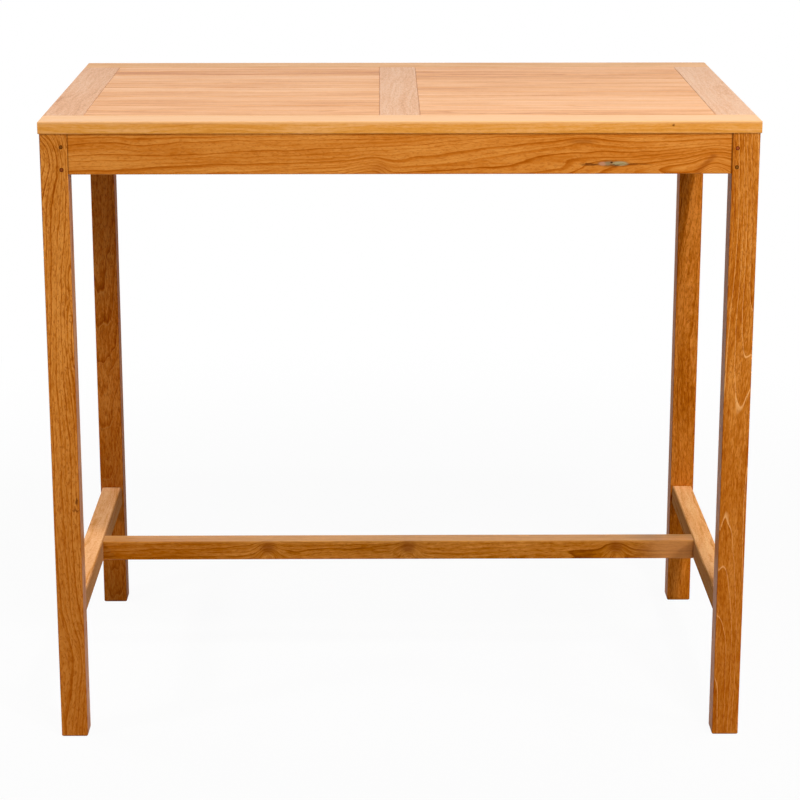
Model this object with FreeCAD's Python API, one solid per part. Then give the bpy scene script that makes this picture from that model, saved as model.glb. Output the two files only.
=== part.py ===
import FreeCAD, Part

import math
import os
from FreeCAD import Vector

# Bar table in solid teak. A framed top of slats stands on four square legs, which aprons
# tie together under the top and an H of stretchers ties together near the floor.
# X runs along the table, Y from its front to its back, and Z up from the floor.
# Every size is in millimetres. Left is -X and front is -Y, and a side is given as -1 or 1.

# Overall sizes
TOP_LENGTH = 1200.0
TOP_DEPTH = 750.0
TABLE_HEIGHT = 1093.0

# Top frame: two rails of full length, two end boards and a centre board, of one stock
TOP_THICKNESS = 21.0
FRAME_BOARD_WIDTH = 68.0
TOP_EDGE_EASE = 2.0
JOINT_BEVEL = 0.5
FRAME_TENON_THICKNESS = 7.0
FRAME_TENON_LENGTH = 34.0
FRAME_TENON_SHOULDER = 13.0
FRAME_PEG_INSET = 12.0
FRAME_PEG_BITE = 3.0

# Slats of the top, held by a tongue at each end
SLAT_COUNT = 11
SLAT_GAP = 1.0
SLAT_END_GAP = 0.3
SLAT_THICKNESS = 15.0
SLAT_BEVEL = 0.8
GROOVE_WIDTH = 7.0
GROOVE_DEPTH = 9.0
GROOVE_END_GAP = 1.0

# Legs
LEG_SIZE = 46.0
LEG_EASE = 2.0
FOOT_BEVEL = 2.5
TOP_OVERHANG = 2.0

# Aprons, with haunched tenons that are mitred where they meet inside the leg
APRON_HEIGHT = 68.0
APRON_THICKNESS = 21.0
APRON_REVEAL = 0.5
APRON_EASE = 1.5
APRON_TENON_THICKNESS = 9.0
APRON_TENON_DROP = 12.0
APRON_TENON_RISE = 2.0
HAUNCH_LENGTH = 8.0
MITRE_GAP = 1.0

# Stretchers, with their tops level
STRETCHER_TOP_HEIGHT = 244.0
STRETCHER_WIDTH = 38.0
STRETCHER_HEIGHT = 36.0
STRETCHER_EASE = 2.0
STRETCHER_TENON_THICKNESS = 12.0
STRETCHER_TENON_HEIGHT = 20.0
SIDE_TENON_LENGTH = 28.0
CENTRE_TENON_LENGTH = 24.0

# Room round a tenon, a tongue, a peg or a screw in its hole, and at the end of a tenon
FIT = 0.1
MORTISE_END_GAP = 1.0

# Pegs, whittled round with many narrow flats, and where they cross the tenons. They were
# set out by hand, so those of the left legs and of the right legs differ in place.
PEG_RADIUS = 3.5
PEG_SIDE_COUNT = 12
PEG_BITE = 5.0
LEFT_PEG_INSET = 10.5
RIGHT_PEG_INSET = 8.5
LEFT_PEG_DROP = 22.0
RIGHT_PEG_DROP = 25.0
LEFT_PEG_RISE = 8.0
RIGHT_PEG_RISE = 11.0
STRETCHER_PEG_INSET = 10.0
STRETCHER_PEG_BITE = 2.0

# Battens that hold the top down on the aprons, and the bearer under the centre board
BATTEN_SIZE = 20.0
BATTEN_BEVEL = 1.5
BATTEN_END_GAP = 3.0
BEARER_THICKNESS = 21.0
BEARER_HEIGHT = 45.0
BEARER_NOTCH_GAP = 0.5
BEARER_TENON_THICKNESS = 9.0
BEARER_TENON_SHOULDER = 4.0
BEARER_TENON_LENGTH = 8.0

# Countersunk wood screws, drawn with flat sides because they are small and many
SCREW_SIDE_COUNT = 8
SCREW_HEAD_RADIUS = 4.0
SCREW_HEAD_HEIGHT = 3.0
SCREW_RADIUS = 2.0
SCREW_TIP_LENGTH = 4.0
BATTEN_SCREW_BITE = 11.0
BEARER_SCREW_BITE = 14.0
BEARER_SCREW_LENGTH = 40.0
BEARER_SCREW_SPACING = 200.0
COUNTERBORE_RADIUS = 5.0
LONG_LEVEL_SCREW_COUNT = 4
LONG_UPRIGHT_SCREW_COUNT = 6
SHORT_LEVEL_SCREW_COUNT = 2
SHORT_UPRIGHT_SCREW_COUNT = 4

# Extra length of a cutting tool past the face that it enters, and the distance within
# which two places are the same
OVERRUN = 2.0
SAME_PLACE = 0.001

# Sizes that follow from the ones above. Outer faces of the legs are at LEG_HALF_X and
# LEG_HALF_Y, and the depths NEAR, FAR and BACK are measured inwards from them.
HALF_LENGTH = TOP_LENGTH / 2
HALF_DEPTH = TOP_DEPTH / 2
UNDERSIDE = TABLE_HEIGHT - TOP_THICKNESS
LEG_HALF_X = HALF_LENGTH - TOP_OVERHANG
LEG_HALF_Y = HALF_DEPTH - TOP_OVERHANG

RAIL_INNER = HALF_DEPTH - FRAME_BOARD_WIDTH
BOARD_HALF = FRAME_BOARD_WIDTH / 2
END_BOARD_MIDDLE = HALF_LENGTH - BOARD_HALF
FRAME_TENON_HALF_WIDTH = BOARD_HALF - FRAME_TENON_SHOULDER
FRAME_TENON_MID = TABLE_HEIGHT - TOP_THICKNESS / 2
FRAME_PEG_LENGTH = (TOP_THICKNESS + FRAME_TENON_THICKNESS) / 2 + FRAME_PEG_BITE
SLAT_WIDTH = (2 * RAIL_INNER - (SLAT_COUNT + 1) * SLAT_GAP) / SLAT_COUNT
SLAT_MID = TABLE_HEIGHT - SLAT_THICKNESS / 2
TONGUE_LENGTH = GROOVE_DEPTH - GROOVE_END_GAP

APRON_FOOT = UNDERSIDE - APRON_HEIGHT
APRON_BACK = APRON_REVEAL + APRON_THICKNESS
APRON_TENON_NEAR = APRON_REVEAL + (APRON_THICKNESS - APRON_TENON_THICKNESS) / 2
APRON_TENON_FAR = APRON_TENON_NEAR + APRON_TENON_THICKNESS
APRON_TENON_TOP = UNDERSIDE - APRON_TENON_DROP
APRON_TENON_FOOT = APRON_FOOT + APRON_TENON_RISE
APRON_PEG_LENGTH = APRON_TENON_FAR + PEG_BITE

STRETCHER_FOOT = STRETCHER_TOP_HEIGHT - STRETCHER_HEIGHT
STRETCHER_MID = STRETCHER_TOP_HEIGHT - STRETCHER_HEIGHT / 2
STRETCHER_NEAR = (LEG_SIZE - STRETCHER_WIDTH) / 2
STRETCHER_FAR = (LEG_SIZE + STRETCHER_WIDTH) / 2
STRETCHER_TENON_NEAR = (LEG_SIZE - STRETCHER_TENON_THICKNESS) / 2
STRETCHER_TENON_FAR = (LEG_SIZE + STRETCHER_TENON_THICKNESS) / 2
STRETCHER_TENON_FOOT = STRETCHER_MID - STRETCHER_TENON_HEIGHT / 2
STRETCHER_TENON_TOP = STRETCHER_MID + STRETCHER_TENON_HEIGHT / 2
SIDE_PEG_LENGTH = STRETCHER_TENON_FAR + PEG_BITE
CENTRE_PEG_LENGTH = STRETCHER_TENON_TOP - STRETCHER_FOOT + STRETCHER_PEG_BITE
CENTRE_STRETCHER_HALF = LEG_HALF_X - STRETCHER_FAR

BATTEN_FOOT = UNDERSIDE - BATTEN_SIZE
BATTEN_BACK = APRON_BACK + BATTEN_SIZE
BATTEN_SCREW_LENGTH = BATTEN_SIZE + BATTEN_SCREW_BITE
BEARER_FOOT = UNDERSIDE - BEARER_HEIGHT
BEARER_HALF_LENGTH = LEG_HALF_Y - APRON_BACK
BEARER_SCREW_HEAD = UNDERSIDE + BEARER_SCREW_BITE - BEARER_SCREW_LENGTH

PEG_INSET = {-1: LEFT_PEG_INSET, 1: RIGHT_PEG_INSET}
PEG_DROP = {-1: LEFT_PEG_DROP, 1: RIGHT_PEG_DROP}
PEG_RISE = {-1: LEFT_PEG_RISE, 1: RIGHT_PEG_RISE}
SIDE_NAME = {-1: "left", 1: "right"}
DEPTH_NAME = {-1: "front", 1: "back"}
UP = Vector(0, 0, 1)


def block(x, y, z):
    """Box that spans a pair of places on each axis, given in any order."""
    corner = Vector(min(x), min(y), min(z))
    return Part.makeBox(abs(x[1] - x[0]), abs(y[1] - y[0]), abs(z[1] - z[0]), corner)


def edges_along(shape, axis, **places):
    """Straight edges that run along an axis, at the listed places on the other axes."""
    chosen = []
    for edge in shape.Edges:
        start = edge.Vertexes[0].Point
        end = edge.Vertexes[-1].Point
        straight = abs(abs(getattr(end - start, axis)) - edge.Length) < SAME_PLACE
        placed = all(
            min(abs(getattr(start, other) - place) for place in wanted) < SAME_PLACE
            for other, wanted in places.items()
        )
        if straight and placed:
            chosen.append(edge)
    return chosen


def ring(radius, height, sides):
    """Corners of a regular polygon round Z, or the one point of a ring with no radius."""
    if radius == 0:
        return [Vector(0, 0, height)]
    angles = [2 * math.pi * side / sides for side in range(sides)]
    return [Vector(radius * math.cos(a), radius * math.sin(a), height) for a in angles]


def flat_sided(outline, sides, place, direction):
    """Solid with flat sides round an axis, from an outline of (radius, height).

    It starts at its place and runs along a direction.
    """
    rings = [ring(radius, height, sides) for radius, height in outline]
    loops = [corners for corners in (rings[0], rings[-1]) if len(corners) > 1]
    for low, high in zip(rings, rings[1:]):
        for side in range(sides):
            after = (side + 1) % sides
            if len(high) == 1:
                loops.append([low[side], low[after], high[0]])
            else:
                loops.append([low[side], low[after], high[after], high[side]])
    faces = [Part.Face(Part.makePolygon(loop + loop[:1])) for loop in loops]
    solid = Part.Solid(Part.Shell(faces))
    solid.Placement = FreeCAD.Placement(place, FreeCAD.Rotation(UP, direction))
    return solid


def peg(place, direction, length, room=0):
    """Peg driven along a direction, with its outer end at its place, or with room its hole."""
    radius = PEG_RADIUS + room
    return flat_sided([(radius, 0), (radius, length)], PEG_SIDE_COUNT, place, direction)


def peg_hole(place, direction, length):
    """Hole for the peg of the same place, direction and length."""
    return peg(place, direction, length, FIT)


def screw(place, direction, length, room=0):
    """Countersunk wood screw with its head flush at its place, or with room its hole."""
    outline = [
        (SCREW_HEAD_RADIUS + room, 0),
        (SCREW_RADIUS + room, SCREW_HEAD_HEIGHT),
        (SCREW_RADIUS + room, length - SCREW_TIP_LENGTH),
        (0, length + room),
    ]
    return flat_sided(outline, SCREW_SIDE_COUNT, place, direction)


def screw_hole(place, direction, length):
    """Hole for the screw of the same place, direction and length."""
    return screw(place, direction, length, FIT)


def corner_point(axis, side_x, side_y, along, across, height):
    """Point at a leg, from depths inwards from the leg's outer faces.

    along is the depth in the direction of the axis, and across is the depth square to it.
    """
    depth_x, depth_y = (along, across) if axis == "x" else (across, along)
    return Vector(side_x * (LEG_HALF_X - depth_x), side_y * (LEG_HALF_Y - depth_y), height)


def corner_block(axis, side_x, side_y, along, across, height):
    """Box at a leg, from a pair of depths each way and a pair of heights."""
    near = corner_point(axis, side_x, side_y, along[0], across[0], height[0])
    far = corner_point(axis, side_x, side_y, along[1], across[1], height[1])
    return block((near.x, far.x), (near.y, far.y), (near.z, far.z))


def ends_of(axis, side):
    """Sides (X, Y) of the two legs that a part along an axis joins on one side."""
    return [(end, side) if axis == "x" else (side, end) for end in (-1, 1)]


def side_block(axis, side, along, across, height):
    """Box between two legs, that stops a depth along from the outer face of each."""
    low, high = ends_of(axis, side)
    near = corner_point(axis, *low, along, across[0], height[0])
    far = corner_point(axis, *high, along, across[1], height[1])
    return block((near.x, far.x), (near.y, far.y), (near.z, far.z))


def inwards(axis, side_x, side_y):
    """Direction square to an axis, from the outer face of a leg into the table."""
    return Vector(0, -side_y, 0) if axis == "x" else Vector(-side_x, 0, 0)


def apron_pegs(axis, side_x, side_y):
    """Place, direction and length of the two pegs of an apron's tenon in a leg."""
    along = LEG_SIZE - PEG_INSET[side_x]
    heights = (UNDERSIDE - PEG_DROP[side_x], APRON_FOOT + PEG_RISE[side_x])
    direction = inwards(axis, side_x, side_y)
    return [
        (corner_point(axis, side_x, side_y, along, 0, height), direction, APRON_PEG_LENGTH)
        for height in heights
    ]


def side_stretcher_peg(side_x, side_y):
    """Place, direction and length of the peg of a side stretcher's tenon in a leg."""
    along = LEG_SIZE - STRETCHER_PEG_INSET
    place = corner_point("y", side_x, side_y, along, 0, STRETCHER_MID)
    return place, inwards("y", side_x, side_y), SIDE_PEG_LENGTH


def centre_stretcher_peg(side_x):
    """Place, direction and length of the peg from below into a centre stretcher's tenon."""
    place = Vector(side_x * (CENTRE_STRETCHER_HALF + STRETCHER_PEG_INSET), 0, STRETCHER_FOOT)
    return place, UP, CENTRE_PEG_LENGTH


def frame_peg(board, side_y):
    """Place, direction and length of the peg from below into a board of the top."""
    y = side_y * (RAIL_INNER + FRAME_PEG_INSET)
    return Vector(board * END_BOARD_MIDDLE, y, UNDERSIDE), UP, FRAME_PEG_LENGTH


def spread(axis, count):
    """Places along a batten of a number of screws, evenly spread about its middle."""
    leg_half = LEG_HALF_X if axis == "x" else LEG_HALF_Y
    half = leg_half - LEG_SIZE - BATTEN_END_GAP
    return [half * ((2 * number + 1) / count - 1) for number in range(count)]


def by_batten(axis, side, along, across, height):
    """Point a way along a batten from its middle, and a depth in from the legs' faces."""
    if axis == "x":
        return Vector(along, side * (LEG_HALF_Y - across), height)
    return Vector(side * (LEG_HALF_X - across), along, height)


def level_screws(axis, side):
    """Place, direction and length of the screws from a batten into its apron."""
    outwards = Vector(0, side, 0) if axis == "x" else Vector(side, 0, 0)
    height = UNDERSIDE - BATTEN_SIZE / 2
    count = LONG_LEVEL_SCREW_COUNT if axis == "x" else SHORT_LEVEL_SCREW_COUNT
    return [
        (by_batten(axis, side, along, BATTEN_BACK, height), outwards, BATTEN_SCREW_LENGTH)
        for along in spread(axis, count)
    ]


def upright_screws(axis, side):
    """Place, direction and length of the screws from a batten up into the top."""
    across = APRON_BACK + BATTEN_SIZE / 2
    count = LONG_UPRIGHT_SCREW_COUNT if axis == "x" else SHORT_UPRIGHT_SCREW_COUNT
    return [
        (by_batten(axis, side, along, across, BATTEN_FOOT), UP, BATTEN_SCREW_LENGTH)
        for along in spread(axis, count)
    ]


def bearer_screws():
    """Place, direction and length of the screws from the bearer up into the centre board."""
    return [
        (Vector(0, step * BEARER_SCREW_SPACING, BEARER_SCREW_HEAD), UP, BEARER_SCREW_LENGTH)
        for step in (-1, 0, 1)
    ]


def peg_holes(spots):
    """Holes for a list of pegs."""
    return [peg_hole(*spot) for spot in spots]


def screw_holes(spots):
    """Holes for a list of screws."""
    return [screw_hole(*spot) for spot in spots]


def apron_mortise(axis, side_x, side_y):
    """Mortise in a leg for an apron's tenon, with the open notch for its haunch above."""
    cheeks = (APRON_TENON_NEAR - FIT, APRON_TENON_FAR + FIT)
    open_face = LEG_SIZE + OVERRUN
    deep = corner_block(
        axis,
        side_x,
        side_y,
        (cheeks[0], open_face),
        cheeks,
        (APRON_TENON_FOOT - FIT, APRON_TENON_TOP + FIT),
    )
    notch = corner_block(
        axis,
        side_x,
        side_y,
        (LEG_SIZE - HAUNCH_LENGTH - FIT, open_face),
        cheeks,
        (APRON_TENON_TOP, UNDERSIDE + OVERRUN),
    )
    return deep.fuse(notch)


def side_stretcher_mortise(side_x, side_y):
    """Mortise in a leg for a side stretcher's tenon."""
    return corner_block(
        "y",
        side_x,
        side_y,
        (LEG_SIZE - SIDE_TENON_LENGTH - MORTISE_END_GAP, LEG_SIZE + OVERRUN),
        (STRETCHER_TENON_NEAR - FIT, STRETCHER_TENON_FAR + FIT),
        (STRETCHER_TENON_FOOT - FIT, STRETCHER_TENON_TOP + FIT),
    )


def leg(side_x, side_y):
    """Square leg with eased edges and a bevelled foot, mortised and bored for its pegs."""
    whole = (0, LEG_SIZE)
    square = corner_block("x", side_x, side_y, whole, whole, (0, UNDERSIDE))
    eased = square.makeFillet(LEG_EASE, edges_along(square, "z"))
    foot = edges_along(square, "x", z=[0]) + edges_along(square, "y", z=[0])
    post = eased.common(square.makeChamfer(FOOT_BEVEL, foot))
    cuts = [side_stretcher_mortise(side_x, side_y)]
    cuts.append(peg_hole(*side_stretcher_peg(side_x, side_y)))
    for axis in ("x", "y"):
        cuts.append(apron_mortise(axis, side_x, side_y))
        cuts += peg_holes(apron_pegs(axis, side_x, side_y))
    return post.cut(cuts)


def mitred_tenon(axis, side_x, side_y):
    """Tenon of an apron, with its end mitred, and its haunch."""
    half_gap = MITRE_GAP / 2
    outline = [
        (LEG_SIZE, APRON_TENON_NEAR),
        (LEG_SIZE, APRON_TENON_FAR),
        (APRON_TENON_FAR + half_gap, APRON_TENON_FAR),
        (APRON_TENON_NEAR + half_gap, APRON_TENON_NEAR),
    ]
    points = [
        corner_point(axis, side_x, side_y, along, across, APRON_TENON_FOOT)
        for along, across in outline
    ]
    face = Part.Face(Part.makePolygon(points + points[:1]))
    tongue = face.extrude(UP * (APRON_TENON_TOP - APRON_TENON_FOOT))
    haunch = corner_block(
        axis,
        side_x,
        side_y,
        (LEG_SIZE - HAUNCH_LENGTH, LEG_SIZE),
        (APRON_TENON_NEAR, APRON_TENON_FAR),
        (APRON_TENON_TOP, UNDERSIDE),
    )
    return tongue.fuse(haunch)


def bearer_tenon(side_y, room=0, end_room=0):
    """Stub tenon of the bearer in a long apron, or with room its mortise."""
    half = BEARER_TENON_THICKNESS / 2 + room
    shoulder = side_y * BEARER_HALF_LENGTH
    tip = side_y * (BEARER_HALF_LENGTH + BEARER_TENON_LENGTH + end_room)
    foot = BEARER_FOOT + BEARER_TENON_SHOULDER - room
    head = BATTEN_FOOT - BEARER_TENON_SHOULDER + room
    return block((-half, half), (shoulder, tip), (foot, head))


def apron(axis, side):
    """Apron with its lower edges eased and a haunched, mitred tenon at each end."""
    board = side_block(axis, side, LEG_SIZE, (APRON_REVEAL, APRON_BACK), (APRON_FOOT, UNDERSIDE))
    board = board.makeFillet(APRON_EASE, edges_along(board, axis, z=[APRON_FOOT]))
    corners = ends_of(axis, side)
    board = board.fuse([mitred_tenon(axis, *corner) for corner in corners]).removeSplitter()
    cuts = screw_holes(level_screws(axis, side))
    for corner in corners:
        cuts += peg_holes(apron_pegs(axis, *corner))
    if axis == "x":
        cuts.append(bearer_tenon(side, FIT, MORTISE_END_GAP))
    return board.cut(cuts)


def centre_stretcher_tenon(side_x, room=0, end_room=0):
    """Tenon of the centre stretcher in a side stretcher, or with room its mortise."""
    half = STRETCHER_TENON_THICKNESS / 2 + room
    tip = CENTRE_STRETCHER_HALF + CENTRE_TENON_LENGTH + end_room
    height = (STRETCHER_TENON_FOOT - room, STRETCHER_TENON_TOP + room)
    return block((side_x * CENTRE_STRETCHER_HALF, side_x * tip), (-half, half), height)


def side_stretcher(side_x):
    """Stretcher between the front and the back leg of one side, mortised for the centre one."""
    width = (STRETCHER_NEAR, STRETCHER_FAR)
    bar = side_block("y", side_x, LEG_SIZE, width, (STRETCHER_FOOT, STRETCHER_TOP_HEIGHT))
    bar = bar.makeFillet(STRETCHER_EASE, edges_along(bar, "y"))
    tenons = side_block(
        "y",
        side_x,
        LEG_SIZE - SIDE_TENON_LENGTH,
        (STRETCHER_TENON_NEAR, STRETCHER_TENON_FAR),
        (STRETCHER_TENON_FOOT, STRETCHER_TENON_TOP),
    )
    cuts = [centre_stretcher_tenon(side_x, FIT, MORTISE_END_GAP)]
    cuts.append(peg_hole(*centre_stretcher_peg(side_x)))
    cuts += [peg_hole(*side_stretcher_peg(side_x, side_y)) for side_y in (-1, 1)]
    return bar.fuse(tenons).cut(cuts)


def centre_stretcher():
    """Stretcher along the table between the middles of the side stretchers."""
    half = STRETCHER_WIDTH / 2
    length = (-CENTRE_STRETCHER_HALF, CENTRE_STRETCHER_HALF)
    bar = block(length, (-half, half), (STRETCHER_FOOT, STRETCHER_TOP_HEIGHT))
    bar = bar.makeFillet(STRETCHER_EASE, edges_along(bar, "x"))
    bar = bar.fuse([centre_stretcher_tenon(side) for side in (-1, 1)])
    return bar.cut([peg_hole(*centre_stretcher_peg(side)) for side in (-1, 1)])


def frame_tenon(board, side_y, room=0, end_room=0):
    """Tenon of a board of the top in a rail, or with room its mortise.

    The boards are -1 for the left end, 0 for the centre and 1 for the right end.
    """
    middle = board * END_BOARD_MIDDLE
    half_width = FRAME_TENON_HALF_WIDTH + room
    half_height = FRAME_TENON_THICKNESS / 2 + room
    tip = side_y * (RAIL_INNER + FRAME_TENON_LENGTH + end_room)
    return block(
        (middle - half_width, middle + half_width),
        (side_y * RAIL_INNER, tip),
        (FRAME_TENON_MID - half_height, FRAME_TENON_MID + half_height),
    )


def top_rail(side_y):
    """Rail of full length along the front or the back of the top."""
    outer = side_y * HALF_DEPTH
    inner = side_y * RAIL_INNER
    ends = [-HALF_LENGTH, HALF_LENGTH]
    rail = block(ends, (outer, inner), (UNDERSIDE, TABLE_HEIGHT))
    outside = edges_along(rail, "x", y=[outer]) + edges_along(rail, "y", x=ends)
    rail = rail.makeFillet(TOP_EDGE_EASE, outside)
    rail = rail.makeChamfer(JOINT_BEVEL, edges_along(rail, "x", y=[inner], z=[TABLE_HEIGHT]))
    cuts = screw_holes(upright_screws("x", side_y))
    for board in (-1, 0, 1):
        cuts.append(frame_tenon(board, side_y, FIT, MORTISE_END_GAP))
        cuts.append(peg_hole(*frame_peg(board, side_y)))
    return rail.cut(cuts)


def groove(side_x, edge):
    """Groove along a board's edge for the tongues of slats on its side_x side."""
    depths = (edge + side_x * OVERRUN, edge - side_x * GROOVE_DEPTH)
    length = RAIL_INNER + OVERRUN
    heights = (SLAT_MID - GROOVE_WIDTH / 2, SLAT_MID + GROOVE_WIDTH / 2)
    return block(depths, (-length, length), heights)


def cross_board(board):
    """Board of the top from rail to rail: -1 and 1 are the end boards, 0 the centre one."""
    middle = board * END_BOARD_MIDDLE
    sides = (middle - BOARD_HALF, middle + BOARD_HALF)
    shape = block(sides, (-RAIL_INNER, RAIL_INNER), (UNDERSIDE, TABLE_HEIGHT))
    if board:
        shape = shape.makeFillet(TOP_EDGE_EASE, edges_along(shape, "y", x=[board * HALF_LENGTH]))
    grooved = [side for side in (-1, 1) if side != board]
    joints = edges_along(shape, "x", z=[TABLE_HEIGHT])
    for side in grooved:
        joints += edges_along(shape, "y", x=[middle + side * BOARD_HALF], z=[TABLE_HEIGHT])
    shape = shape.makeChamfer(JOINT_BEVEL, joints)
    shape = shape.fuse([frame_tenon(board, side_y) for side_y in (-1, 1)])
    cuts = [groove(side, middle + side * BOARD_HALF) for side in grooved]
    cuts += [peg_hole(*frame_peg(board, side_y)) for side_y in (-1, 1)]
    cuts += screw_holes(upright_screws("y", board)) if board else screw_holes(bearer_screws())
    return shape.cut(cuts)


def slat(side_x, number):
    """Slat of one panel, counted from the front, with a tongue at each end."""
    front = -RAIL_INNER + SLAT_GAP + number * (SLAT_WIDTH + SLAT_GAP)
    width = (front, front + SLAT_WIDTH)
    inner = BOARD_HALF + SLAT_END_GAP
    outer = HALF_LENGTH - FRAME_BOARD_WIDTH - SLAT_END_GAP
    heights = (TABLE_HEIGHT - SLAT_THICKNESS, TABLE_HEIGHT)
    body = block((side_x * inner, side_x * outer), width, heights)
    body = body.makeChamfer(SLAT_BEVEL, edges_along(body, "x") + edges_along(body, "y"))
    tongue = block(
        (side_x * (BOARD_HALF - TONGUE_LENGTH), side_x * (outer + SLAT_END_GAP + TONGUE_LENGTH)),
        (front + SLAT_BEVEL, front + SLAT_WIDTH - SLAT_BEVEL),
        (SLAT_MID - GROOVE_WIDTH / 2 + FIT, SLAT_MID + GROOVE_WIDTH / 2 - FIT),
    )
    return body.fuse(tongue)


def batten(axis, side):
    """Batten in the corner between an apron and the top."""
    end = LEG_SIZE + BATTEN_END_GAP
    strip = side_block(axis, side, end, (APRON_BACK, BATTEN_BACK), (BATTEN_FOOT, UNDERSIDE))
    strip = strip.makeChamfer(BATTEN_BEVEL, edges_along(strip, axis, z=[BATTEN_FOOT]))
    return strip.cut(screw_holes(level_screws(axis, side) + upright_screws(axis, side)))


def centre_bearer():
    """Bearer on edge under the centre board, notched over the long battens."""
    half = BEARER_THICKNESS / 2
    length = (-BEARER_HALF_LENGTH, BEARER_HALF_LENGTH)
    bar = block((-half, half), length, (BEARER_FOOT, UNDERSIDE))
    bar = bar.makeChamfer(BATTEN_BEVEL, edges_along(bar, "y", z=[BEARER_FOOT]))
    bar = bar.fuse([bearer_tenon(side_y) for side_y in (-1, 1)])
    cuts = screw_holes(bearer_screws())
    depth = BEARER_SCREW_HEAD - BEARER_FOOT
    outline = [(COUNTERBORE_RADIUS, 0), (COUNTERBORE_RADIUS, depth)]
    for place, direction, _ in bearer_screws():
        start = place - direction * depth
        cuts.append(flat_sided(outline, PEG_SIDE_COUNT, start, direction))
    notch_foot = BATTEN_FOOT - BEARER_NOTCH_GAP
    notch_start = LEG_HALF_Y - BATTEN_BACK - BEARER_NOTCH_GAP
    notch_end = BEARER_HALF_LENGTH + OVERRUN
    across = (-half - OVERRUN, half + OVERRUN)
    for side_y in (-1, 1):
        notch = (side_y * notch_start, side_y * notch_end)
        cuts.append(block(across, notch, (notch_foot, UNDERSIDE + OVERRUN)))
    return bar.cut(cuts)


def save(name, shapes):
    """Write one node from its shapes, after a test that each solid is sound."""
    solids = [solid for shape in shapes for solid in shape.Solids]
    if not solids or any(not solid.isValid() or solid.Volume <= 0 for solid in solids):
        raise ValueError(name + " isn't sound")
    shape = solids[0] if len(solids) == 1 else Part.makeCompound(solids)
    shape.exportStep("parts/" + name + ".step")
    print(name, len(solids))


def save_legs_and_aprons():
    """Legs, aprons, and the pegs that pin them together."""
    for side_x, side_name in SIDE_NAME.items():
        for side_y, depth_name in DEPTH_NAME.items():
            save("leg_" + depth_name + "_" + side_name, [leg(side_x, side_y)])
    for axis, names in (("x", DEPTH_NAME), ("y", SIDE_NAME)):
        for side, name in names.items():
            save("apron_" + name, [apron(axis, side)])
            spots = [spot for corner in ends_of(axis, side) for spot in apron_pegs(axis, *corner)]
            save("apron_pegs_" + name, [peg(*spot) for spot in spots])


def save_stretchers():
    """Stretchers and their pegs."""
    save("centre_stretcher", [centre_stretcher()])
    save("centre_stretcher_pegs", [peg(*centre_stretcher_peg(side)) for side in SIDE_NAME])
    for side, name in SIDE_NAME.items():
        save("side_stretcher_" + name, [side_stretcher(side)])
        spots = [side_stretcher_peg(side, side_y) for side_y in DEPTH_NAME]
        save("side_stretcher_pegs_" + name, [peg(*spot) for spot in spots])


def save_top():
    """Rails, boards, slats and pegs of the top."""
    for side_y, name in DEPTH_NAME.items():
        save("top_rail_" + name, [top_rail(side_y)])
        save("top_rail_pegs_" + name, [peg(*frame_peg(board, side_y)) for board in (-1, 0, 1)])
    save("centre_board", [cross_board(0)])
    for side, name in SIDE_NAME.items():
        save("end_board_" + name, [cross_board(side)])
        for number in range(SLAT_COUNT):
            save("slat_" + name + "_" + format(number + 1, "02d"), [slat(side, number)])


def save_fixings():
    """Battens, bearer and screws that hold the top on the aprons."""
    save("centre_bearer", [centre_bearer()])
    save("bearer_screws", [screw(*spot) for spot in bearer_screws()])
    for axis, names in (("x", DEPTH_NAME), ("y", SIDE_NAME)):
        for side, name in names.items():
            save("batten_" + name, [batten(axis, side)])
            spots = level_screws(axis, side) + upright_screws(axis, side)
            save("batten_screws_" + name, [screw(*spot) for spot in spots])


os.makedirs("parts", exist_ok=True)
save_legs_and_aprons()
save_stretchers()
save_top()
save_fixings()
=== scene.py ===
import logging
import math
from dataclasses import dataclass, replace
from enum import Enum
from typing import Dict, List, Sequence, Tuple, Union

import bmesh
import bpy
from mathutils import Euler, Matrix, Vector


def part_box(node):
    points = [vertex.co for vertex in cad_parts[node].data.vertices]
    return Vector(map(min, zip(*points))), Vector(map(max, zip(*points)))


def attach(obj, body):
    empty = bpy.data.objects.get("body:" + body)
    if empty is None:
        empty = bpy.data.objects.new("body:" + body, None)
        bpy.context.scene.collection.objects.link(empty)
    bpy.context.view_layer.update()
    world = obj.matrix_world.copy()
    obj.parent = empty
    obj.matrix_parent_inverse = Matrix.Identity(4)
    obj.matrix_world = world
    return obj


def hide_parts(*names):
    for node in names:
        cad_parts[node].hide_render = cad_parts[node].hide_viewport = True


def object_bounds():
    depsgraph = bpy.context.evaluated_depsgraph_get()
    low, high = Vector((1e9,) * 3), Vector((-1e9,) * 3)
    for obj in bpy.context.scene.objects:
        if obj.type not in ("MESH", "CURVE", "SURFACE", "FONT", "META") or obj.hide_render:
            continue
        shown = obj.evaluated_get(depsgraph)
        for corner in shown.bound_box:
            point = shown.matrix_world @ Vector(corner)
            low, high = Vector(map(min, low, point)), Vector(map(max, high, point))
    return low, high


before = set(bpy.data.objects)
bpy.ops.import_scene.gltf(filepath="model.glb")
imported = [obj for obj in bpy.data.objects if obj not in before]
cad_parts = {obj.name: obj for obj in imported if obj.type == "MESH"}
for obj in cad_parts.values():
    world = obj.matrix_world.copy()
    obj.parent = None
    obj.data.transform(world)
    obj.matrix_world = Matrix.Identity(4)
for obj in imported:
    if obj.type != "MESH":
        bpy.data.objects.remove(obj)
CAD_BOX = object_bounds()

# Bar table in solid teak. The legs, aprons, stretchers, boards, slats, battens and bearer
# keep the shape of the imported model, and each gets grain of its own here. The pegs and
# the screws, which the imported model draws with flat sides, are made round here.
# X runs along the table, Y from its front to its back and Z up, in metres. A size whose
# name ends in mm is in millimetres.

log = logging.getLogger("bar_table")

Pair = Tuple[float, float]
Triple = Tuple[float, float, float]
Socket = bpy.types.NodeSocket
Value = Union[float, Sequence[float], Socket]

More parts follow.
